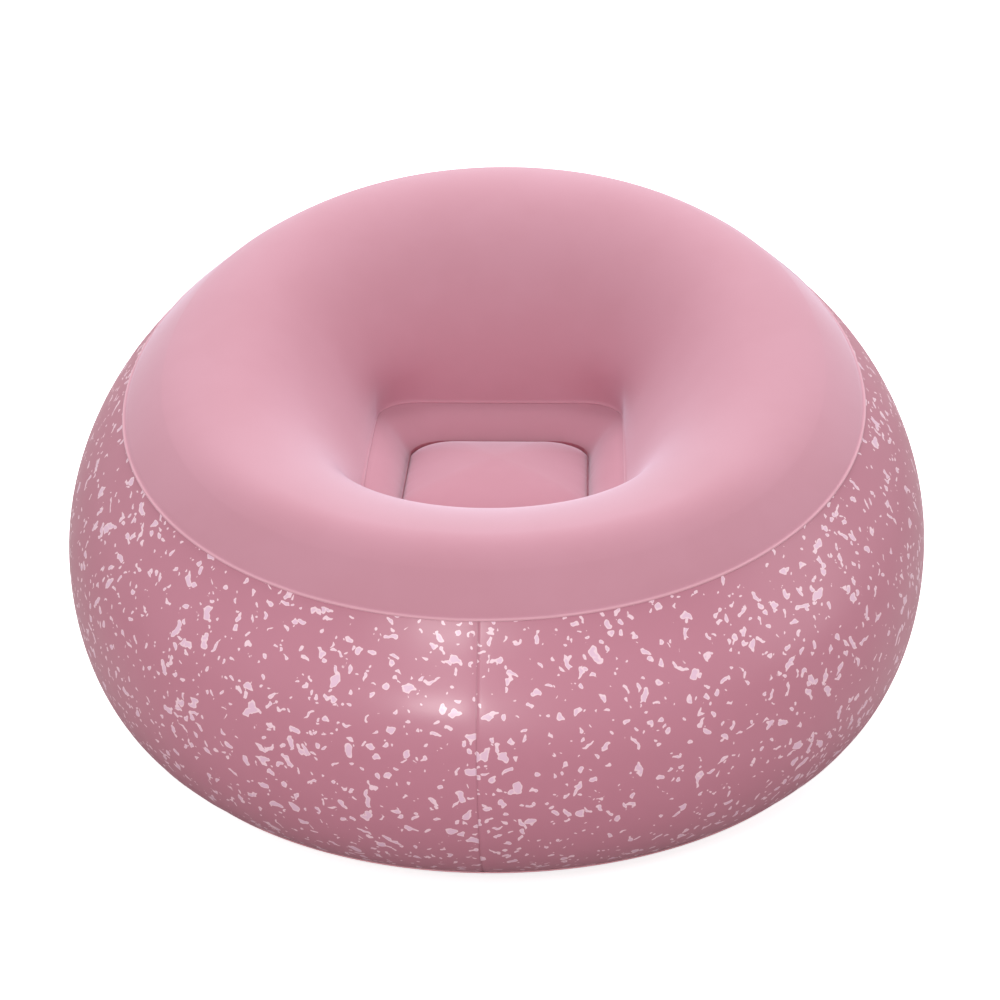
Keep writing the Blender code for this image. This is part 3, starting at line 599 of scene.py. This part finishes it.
grainSettings = {
    "grain": 900.0, "depth": 0.00005, "detail": 3.0,
    "mottleScale": 9.0, "mottleDetail": 3.0, "mottleRough": 0.6,
}
mottleSpan = (0.35, 0.65)
wideSpan = (0.3, 0.7)


# fine grain of calendered vinyl, as a normal, and a slow unevenness as a mask
def makeVinylGroup(settings):
    group, given, out = makeGroup(
        "vinylGrain",
        [("Vector", 'NodeSocketVector', None),
         ("Grain", 'NodeSocketFloat', settings["grain"]),
         ("Depth", 'NodeSocketFloat', settings["depth"])],
        [("Normal", 'NodeSocketVector'), ("Mottle", 'NodeSocketFloat')])
    fine = group.nodes.new("ShaderNodeTexNoise")
    group.links.new(given.outputs["Vector"], fine.inputs["Vector"])
    group.links.new(given.outputs["Grain"], fine.inputs["Scale"])
    fine.inputs["Detail"].default_value = settings["detail"]
    bump = group.nodes.new("ShaderNodeBump")
    group.links.new(given.outputs["Depth"], bump.inputs["Distance"])
    group.links.new(fine.outputs["Fac"], bump.inputs["Height"])
    slow = noiseNode(group, given.outputs["Vector"],
                     settings["mottleScale"], settings["mottleDetail"], settings["mottleRough"])
    group.links.new(bump.outputs["Normal"], out.inputs["Normal"])
    group.links.new(slow.outputs["Fac"], out.inputs["Mottle"])
    return group


chipGroup = makeChipGroup(chipSettings)
vinylGroup = makeVinylGroup(grainSettings)


def placeGroup(tree, group):
    node = tree.nodes.new("ShaderNodeGroup")
    node.node_tree = group
    return node


# vinyl's grain on the shader's normal; gives the object's coordinates and the grain's mottle
def addGrain(tree, shader, settings):
    coord = tree.nodes.new("ShaderNodeTexCoord").outputs["Object"]
    grain = placeGroup(tree, vinylGroup)
    tree.links.new(coord, grain.inputs["Vector"])
    grain.inputs["Grain"].default_value = settings["grain"]
    grain.inputs["Depth"].default_value = settings["depth"]
    tree.links.new(grain.outputs["Normal"], shader.inputs["Normal"])
    return coord, grain.outputs["Mottle"]


# mix of two colours, each a tuple or another node's output
def mixColour(tree, factor, first, second):
    node = addNode(tree, "ShaderNodeMix", data_type='RGBA')
    for socket, value in ((node.inputs[6], first), (node.inputs[7], second)):
        if isinstance(value, tuple):
            socket.default_value = (*value, 1.0)
        else:
            tree.links.new(value, socket)
    tree.links.new(factor, node.inputs[0])
    return node.outputs[2]


# how much of the weld colour shows: painted highlight on the hem beads, and on the wall's upright seam a dark
# line that is partly the weld's darker double layer and partly painted shadow of the lap's step
def seamMark(tree):
    node = tree.nodes.new("ShaderNodeAttribute")
    node.attribute_name = "seamMark"
    return node.outputs["Fac"]


# printed wall

wallSettings = {
    "pink": (0.587, 0.242, 0.320), "deep": (0.563, 0.226, 0.298), "deepShare": 0.35,
    # the seam colour is a dark line along the upright seam: partly the weld's darker double layer, partly a
    # painted shadow of the lap's step
    "chip": (0.99, 0.72, 0.80), "chipCore": (0.88, 0.60, 0.74), "seam": (0.42, 0.15, 0.20),
    "printShift": {"left": (0.0, 0.0, 0.0), "right": (4.37, 2.11, 0.83)},
    "roughness": 0.33, "chipRoughness": 0.30, "roughnessVary": 0.03,
    "grain": 700.0, "depth": 0.00004,
    "lowerRows": 40, "upperRows": 30, "step": 0.75, "dip": 0.0004, "dipReach": 0.005,
    # each column's distance from the upright seam, and the share of a sheet that it is tucked under there
    "seamColumns": {
        "left": ((0.0, 0.0), (0.0006, 0.0), (0.002, 0.0), (0.004, 0.0), (0.0065, 0.0)),
        "right": ((-form["seamLap"], 1.0), (-0.004, 1.0), (0.0, 1.0), (0.0005, 1.0), (0.0018, 0.5),
                  (0.0030, 0.0), (0.0045, 0.0), (0.007, 0.0)),
    },
    "seamLine": 0.0008, "seamShare": 0.4,
    # the pucker's strength is given at the base sheet's weld and at the top's
    "puckers": 120, "puckerDepth": 0.0007, "puckerReach": 0.045, "puckerRise": 0.004,
    "puckerStrength": (1.0, 0.35), "puckerSeed": 3.0,
}


def makePrintMaterial(name, settings, offset):
    material, tree, shader = newMaterial(name, settings["pink"], settings["roughness"])
    coord, mottle = addGrain(tree, shader, settings)
    chips = placeGroup(tree, chipGroup)
    tree.links.new(shifted(tree, coord, offset), chips.inputs["Vector"])
    deeper = rangeNode(tree, mottle, *mottleSpan, 0.0, settings["deepShare"])
    ground = mixColour(tree, deeper, settings["pink"], settings["deep"])
    chip = mixColour(tree, chips.outputs["Core"], settings["chip"], settings["chipCore"])
    printed = mixColour(tree, chips.outputs["Mask"], ground, chip)
    # dark line along the upright seam: partly the weld's darker double layer, partly painted shadow of the
    # lap's step
    edged = mixColour(tree, seamMark(tree), printed, settings["seam"])
    tree.links.new(edged, shader.inputs["Base Color"])
    printRough = (settings["roughness"], settings["chipRoughness"])
    rough = rangeNode(tree, chips.outputs["Mask"], 0.0, 1.0, *printRough, smooth=False)
    vary = settings["roughnessVary"]
    varied = mathNode(tree, 'ADD', rough, rangeNode(tree, mottle, *wideSpan, -vary, vary))
    tree.links.new(varied, shader.inputs["Roughness"])
    return material


# outer face of the printed wall, from its lap at the base sheet to its lap under the top
def wallGrid(angles, settings):
    lower, upper, outer = lowerCurve(angles), upperCurve(angles), outerCurve(angles)
    rows = [hemPoint(angles, form["lap"]), hemPoint(angles, form["lap"] / 2)]
    rows += [bezier(lower, t) for t in np.linspace(form["hemShare"], 1.0, settings["lowerRows"])[:-1]]
    rows += [bezier(upper, t) for t in np.linspace(0.0, 1.0, settings["upperRows"])]
    rows += [bezier(outer, nearStart(outer, form["lap"] / 2)), bezier(outer, nearStart(outer, form["lap"]))]
    return np.array(rows)


# small gathers that a ring weld leaves in the wall beside it
def pucker(grid, angles, settings):
    welds = (hemPoint(angles), rim(angles))
    depth = np.zeros(grid.shape[:2])
    for k, (weld, strength) in enumerate(zip(welds, settings["puckerStrength"])):
        distance = np.linalg.norm(grid - weld[None], axis=2)
        rise = np.minimum(distance / settings["puckerRise"], 1.0)
        fade = np.exp(-distance / settings["puckerReach"]) * rise
        depth += waves(angles, settings["puckers"], settings["puckerSeed"] + k)[None] * fade * strength
    return depth * settings["puckerDepth"]


def makeWall(name, side, settings):
    step = math.radians(settings["step"])
    start = math.pi / 2 if side == "left" else -math.pi / 2
    distances, unders = np.array(settings["seamColumns"][side]).T
    fine = distances / form["equatorRadius"]
    drop = unders * -(form["vinyl"] + form["gap"])
    middle = np.arange(step * 2, math.pi - step * 1.5, step)
    angles = start + np.concatenate([fine, middle, math.pi - fine[::-1]])
    hidden = np.concatenate([drop, np.zeros(len(middle)), drop[::-1]])
    grid = wallGrid(angles, settings)
    normals = gridNormals(grid, False)
    fromEdge = np.minimum(np.abs(angles - angles.min()), np.abs(angles.max() - angles))
    away = np.abs(fromEdge * form["equatorRadius"] + distances[0])
    dip = -settings["dip"] * np.exp(-(away / settings["dipReach"]) ** 2)
    offset = (hidden + dip)[None] + pucker(grid, angles, settings)
    outer = grid + normals * offset[..., None]
    inner = grid + normals * (offset - form["vinyl"])[..., None]
    marks = np.zeros(grid.shape[:2])
    # the left panel's edge carries the dark seam line: partly the weld's darker double layer, partly painted
    # shadow of the lap's step
    if side == "left":
        marks += (np.exp(-(away / settings["seamLine"]) ** 2) * settings["seamShare"])[None]
    return vinylShell(name, outer, inner, False, marks)


wallLeft = makeWall("printedWallLeft", "left", wallSettings)
wallRight = makeWall("printedWallRight", "right", wallSettings)
shifts = wallSettings["printShift"]
wallLeft.data.materials.append(makePrintMaterial("printedVinylLeft", wallSettings, shifts["left"]))
wallRight.data.materials.append(makePrintMaterial("printedVinylRight", wallSettings, shifts["right"]))


valveSettings = {
    "place": (-0.105443, 0.54246, 0.211339), "normal": (-0.187709, 0.96568, -0.179518),
    "hole": 0.0152, "depth": 0.03, "sides": 64,
}


def cutValveHole(wall, settings):
    bpy.ops.object.select_all(action='DESELECT')
    normal = Vector(settings["normal"]).normalized()
    turn = normal.to_track_quat('Z', 'Y').to_euler()
    bpy.ops.mesh.primitive_cylinder_add(vertices=settings["sides"], radius=settings["hole"],
                                        depth=settings["depth"], location=settings["place"], rotation=turn)
    cutter = bpy.context.active_object
    cut = wall.modifiers.new("valveHole", 'BOOLEAN')
    cut.operation = 'DIFFERENCE'
    cut.solver = 'EXACT'
    cut.object = cutter
    bpy.ops.object.select_all(action='DESELECT')
    wall.select_set(True)
    bpy.context.view_layer.objects.active = wall
    bpy.ops.object.modifier_apply(modifier=cut.name)
    bpy.data.objects.remove(cutter)


cutValveHole(wallLeft, valveSettings)
for piece, node in ((wallLeft, "side_panel_left"), (wallRight, "side_panel_right")):
    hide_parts(node)
    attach(piece, "air_body")
print("printed walls made")


# matt top

velvetSettings = {
    # the edge colour is paler and painted on the rim's hem bead and the well's weld bead: a painted highlight
    "pink": (0.600, 0.288, 0.360), "warm": (0.588, 0.278, 0.346), "edge": (0.72, 0.38, 0.45),
    "roughness": 0.80, "edgeRoughness": 0.45, "specular": 0.2,
    "sheen": 0.90, "sheenRoughness": 0.40, "sheenTint": (0.95, 0.87, 1.0),
    "grain": 1500.0, "depth": 0.00008, "step": 0.75,
    "outerRows": 26, "innerRows": 34, "innerEnd": 0.012,
    "bead": 0.0017, "beadNotches": 150, "notchSeed": 9.0, "notchDepth": 0.45, "notchFrom": 0.35,
    # distance from the hem, share of the bead's height there, and how much of the painted highlight colour
    # shows there
    "hemRows": ((0.0, 0.45, 1.0), (0.0003, 0.80, 1.0), (0.0009, 1.0, 1.0), (0.0017, 1.0, 1.0),
                (0.0025, 0.72, 0.8), (0.0033, 0.30, 0.3), (0.0042, 0.02, 0.0), (0.0056, -0.10, 0.0),
                (0.0075, -0.06, 0.0), (0.010, 0.0, 0.0)),
    # the same for the well's weld, whose bead is lower and its painted highlight fainter
    "wellRows": ((0.009, -0.08, 0.0), (0.006, -0.12, 0.0), (0.004, 0.0, 0.0), (0.003, 0.30, 0.3),
                 (0.0021, 0.55, 0.6), (0.0012, 0.62, 0.7), (0.0005, 0.5, 0.7), (0.0, 0.2, 0.7)),
    "wellBead": 0.8, "wellPaintedHighlight": 0.7,
}


def makeVelvetMaterial(name, settings):
    material, tree, shader = newMaterial(name, settings["pink"], settings["roughness"])
    mottle = addGrain(tree, shader, settings)[1]
    ground = mixColour(tree, rangeNode(tree, mottle, *mottleSpan), settings["pink"], settings["warm"])
    # painted highlight on the hem and weld beads
    edged = mixColour(tree, seamMark(tree), ground, settings["edge"])
    tree.links.new(edged, shader.inputs["Base Color"])
    hemRough = (settings["roughness"], settings["edgeRoughness"])
    rough = rangeNode(tree, seamMark(tree), 0.0, 1.0, *hemRough, smooth=False)
    tree.links.new(rough, shader.inputs["Roughness"])
    shader.inputs["Sheen Weight"].default_value = settings["sheen"]
    shader.inputs["Sheen Roughness"].default_value = settings["sheenRoughness"]
    shader.inputs["Sheen Tint"].default_value = (*settings["sheenTint"], 1.0)
    shader.inputs["Specular IOR Level"].default_value = settings["specular"]
    return material


def makeTopSheet(settings):
    angles = wholeTurn(settings["step"])
    outer, inner = outerCurve(angles), innerCurve(angles)
    count = len(angles)
    bead, low = settings["bead"], settings["notchFrom"]
    uneven = waves(angles, settings["beadNotches"], settings["notchSeed"])
    notches = 1.0 - settings["notchDepth"] * np.clip(uneven - low, 0.0, 1.0) / (1.0 - low)
    rows, heights, marks = [], [], []
    for distance, height, paintedHighlight in settings["hemRows"]:
        rows.append(bezier(outer, nearStart(outer, distance)))
        heights.append(height * bead * notches)
        marks.append(np.full(count, paintedHighlight))
    hemEnd = settings["hemRows"][-1][0]
    first = float(nearStart(outer, hemEnd).max())
    for t in np.linspace(first, 1.0, settings["outerRows"])[1:]:
        rows.append(bezier(outer, t))
    last = float(nearEnd(inner, settings["innerEnd"]).min())
    for t in np.linspace(0.0, last, settings["innerRows"])[1:]:
        rows.append(bowlPoint(angles, inner, t))
    plain = len(rows) - len(heights)
    heights += [np.zeros(count)] * plain
    marks += [np.zeros(count)] * plain
    for distance, height, paintedHighlight in settings["wellRows"]:
        rows.append(bowlPoint(angles, inner, nearEnd(inner, distance)))
        heights.append(np.full(count, height * bead * settings["wellBead"]))
        marks.append(np.full(count, paintedHighlight * settings["wellPaintedHighlight"]))
    grid = np.array(rows)
    normals = gridNormals(grid, True)
    lift = form["gap"] + form["vinyl"] + np.array(heights)
    top = grid + normals * lift[..., None]
    below = grid + normals * form["gap"]
    return vinylShell("velvetTop", top, below, True, np.array(marks))


velvet = makeVelvetMaterial("velvetVinyl", velvetSettings)
topSheet = makeTopSheet(velvetSettings)
topSheet.data.materials.append(velvet)
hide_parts("top_sheet")
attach(topSheet, "air_body")
print("top made")


# seat panel and pillow

pillowSettings = {
    "step": 1.0, "bandRows": 16, "bandEase": 0.8, "pillowRows": 40, "pillowEase": 1.9,
    "tuck": 0.0007, "tuckReach": 0.0018,
    "gathers": 60, "gather": 0.0005, "gatherReach": 0.012, "gatherRise": 0.003, "gatherSeed": 5.0,
}


def makeSeatPanel(settings):
    angles = wholeTurn(settings["step"])
    inner, band = innerCurve(angles), bandCurve(angles)
    laps = (form["lap"], form["lap"] / 2)
    rows = [bowlPoint(angles, inner, nearEnd(inner, distance)) for distance in laps]
    rows += [bezier(band, t) for t in np.linspace(0.0, 1.0, settings["bandRows"]) ** settings["bandEase"]]
    creaseRow = len(rows) - 1
    shares = 1.0 - np.linspace(0.0, 1.0, settings["pillowRows"])[1:] ** settings["pillowEase"]
    rows += [pillowRow(angles, share) for share in shares]
    grid = np.array(rows)
    grid[-1] = grid[-1].mean(axis=0)
    normals = gridNormals(grid, True)
    normals[-1] = (0.0, 0.0, 1.0)
    distance = np.linalg.norm(grid - grid[creaseRow][None], axis=2)
    fade = np.exp(-distance / settings["gatherReach"])
    rise = np.minimum(distance / settings["gatherRise"], 1.0)
    gathers = waves(angles, settings["gathers"], settings["gatherSeed"])[None] * fade * rise
    tuck = settings["tuck"] * np.exp(-distance / settings["tuckReach"])
    depth = settings["gather"] * gathers - tuck
    depth[:len(laps)] = 0.0
    top = grid + normals * depth[..., None]
    below = grid + normals * (depth - form["vinyl"])[..., None]
    marks = np.zeros(grid.shape[:2])
    return vinylShell("seatPillow", top, below, True, marks, poleLast=True)


seatPillow = makeSeatPanel(pillowSettings)
seatPillow.data.materials.append(velvet)
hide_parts("seat_panel")
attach(seatPillow, "air_body")
print("seat made")


# base sheet

baseSettings = {
    # the seam colour is paler and painted along the hem bead: a painted highlight
    "pink": (0.62, 0.24, 0.31), "darker": 0.86, "seam": (0.78, 0.42, 0.46),
    "roughness": 0.42, "grain": 700.0, "depth": 0.00004,
    "step": 1.0, "middleRows": 14, "stepRows": 12, "curveRows": 14, "wallRows": 10, "flatWithin": 1e-7,
    # distance from the hem, share of its height there, and how much of the hem's painted highlight colour
    # shows
    "hemRows": ((0.006, 0.0, 0.0), (0.004, 0.2, 0.0), (0.003, 0.6, 0.8), (0.002, 0.95, 0.8),
                (0.001, 1.0, 0.8), (0.0003, 0.8, 0.8), (0.0, 0.4, 0.8)),
    "hem": 0.0012,
}


def makeBaseMaterial(settings):
    material, tree, shader = newMaterial("plainVinyl", settings["pink"], settings["roughness"])
    mottle = addGrain(tree, shader, settings)[1]
    darker = tuple(c * settings["darker"] for c in settings["pink"])
    ground = mixColour(tree, rangeNode(tree, mottle, *mottleSpan), settings["pink"], darker)
    # paler colour painted along the hem bead: a painted highlight
    tree.links.new(mixColour(tree, seamMark(tree), ground, settings["seam"]), shader.inputs["Base Color"])
    return material


# from the raised middle under the tension wall, down to the floor ring and up to the hem
def makeBaseSheet(settings):
    angles = wholeTurn(settings["step"])
    edge = foot(angles)
    base, lower = baseCurve(angles), lowerCurve(angles)
    middle = np.array([[0.0, form["wellShift"], edge[0, 2]]])
    rows = []
    for share in np.linspace(0.0, 1.0, settings["middleRows"]):
        row = middle + (edge - middle) * share
        row[:, 2] = edge[:, 2] - form["middleSag"] * (1.0 - share ** 2)
        rows.append(row)
    lapEdge = edge + outward(angles) * form["lap"]
    rows.append(lapEdge)
    flat = ring(form["flatInner"], angles, floorLevel)
    for t in np.linspace(0.0, 1.0, settings["stepRows"])[1:]:
        ease = t * t * (3 - 2 * t)
        row = lapEdge + (flat - lapEdge) * t
        row[:, 2] = lapEdge[:, 2] + (flat[:, 2] - lapEdge[:, 2]) * ease
        rows.append(row)
    rows.append(ring(form["flatOuter"], angles, floorLevel))
    rows += [bezier(base, t) for t in np.linspace(0.0, 1.0, settings["curveRows"])[1:]]
    rows += [bezier(lower, t) for t in np.linspace(0.0, form["hemShare"], settings["wallRows"])[1:-1]]
    hemStart = len(rows)
    distances, heights, hemHighlights = np.array(settings["hemRows"]).T
    rows += [hemPoint(angles, distance) for distance in distances]
    grid = np.array(rows)
    grid[0] = grid[0].mean(axis=0)
    normals = gridNormals(grid, True)
    normals[0] = (0.0, 0.0, -1.0)
    normals[np.abs(grid[..., 2] - floorLevel) < settings["flatWithin"]] = (0.0, 0.0, -1.0)
    hem = np.zeros(grid.shape[:2])
    hem[hemStart:] = heights[:, None] * settings["hem"]
    marks = np.zeros(grid.shape[:2])
    marks[hemStart:] = hemHighlights[:, None]
    top = grid + normals * (form["gap"] + form["vinyl"] + hem)[..., None]
    below = grid + normals * form["gap"]
    return vinylShell("plainBase", top, below, True, marks, poleFirst=True)


baseSheet = makeBaseSheet(baseSettings)
baseSheet.data.materials.append(makeBaseMaterial(baseSettings))
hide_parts("base_sheet")
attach(baseSheet, "air_body")
print("base made")


# valve finishes

valveFinishes = {
    "valve_base": {
        "colour": (0.70, 0.62, 0.63), "roughness": 0.34, "vary": 0.06, "grain": 900.0, "depth": 0.00003,
        "metal": 0.0, "through": 0.35,
    },
    "tether_ring": {
        "colour": (0.72, 0.65, 0.66), "roughness": 0.36, "vary": 0.06, "grain": 900.0, "depth": 0.00003,
        "metal": 0.0, "through": 0.35,
    },
    "valve_insert": {
        "colour": (0.80, 0.78, 0.77), "roughness": 0.40, "vary": 0.05, "grain": 1800.0, "depth": 0.00002,
        "metal": 0.0, "through": 0.1,
    },
    "valve_cap": {
        "colour": (0.82, 0.80, 0.79), "roughness": 0.38, "vary": 0.05, "grain": 1800.0, "depth": 0.00002,
        "metal": 0.0, "through": 0.1,
    },
    "valve_seal": {
        "colour": (0.030, 0.030, 0.032), "roughness": 0.62, "vary": 0.08, "grain": 2600.0, "depth": 0.00002,
        "metal": 0.0, "through": 0.0,
    },
    "check_flap": {
        "colour": (0.035, 0.034, 0.036), "roughness": 0.58, "vary": 0.08, "grain": 2600.0, "depth": 0.00002,
        "metal": 0.0, "through": 0.0,
    },
    "flap_pin": {
        "colour": (0.58, 0.58, 0.60), "roughness": 0.28, "vary": 0.10, "grain": 3000.0, "depth": 0.00001,
        "metal": 1.0, "through": 0.0,
    },
    "seat_baffle": {
        "colour": (0.47, 0.16, 0.21), "roughness": 0.45, "vary": 0.05, "grain": 700.0, "depth": 0.00004,
        "metal": 0.0, "through": 0.1,
    },
}


spotSettings = {
    "scale": 160.0, "detail": 3.0, "rough": 0.6, "span": (0.35, 0.70), "darker": 1.6, "lightReach": 0.002,
}


def finishNode(node, settings):
    material, tree, shader = newMaterial(node.name + "Finish", settings["colour"], settings["roughness"])
    coord = addGrain(tree, shader, settings)[0]
    spread = (spotSettings["scale"], spotSettings["detail"], spotSettings["rough"])
    spots = noiseNode(tree, coord, *spread).outputs["Fac"]
    darker = tuple(c * (1.0 - settings["vary"] * spotSettings["darker"]) for c in settings["colour"])
    tinted = mixColour(tree, rangeNode(tree, spots, *spotSettings["span"]), settings["colour"], darker)
    tree.links.new(tinted, shader.inputs["Base Color"])
    low, high = settings["roughness"] - settings["vary"], settings["roughness"] + settings["vary"]
    tree.links.new(rangeNode(tree, spots, *wideSpan, low, high), shader.inputs["Roughness"])
    shader.inputs["Metallic"].default_value = settings["metal"]
    shader.inputs["Subsurface Weight"].default_value = settings["through"]
    shader.inputs["Subsurface Scale"].default_value = spotSettings["lightReach"]
    node.data.materials.clear()
    node.data.materials.append(material)


for name, settings in valveFinishes.items():
    finishNode(nodes[name], settings)
print("valve finished")
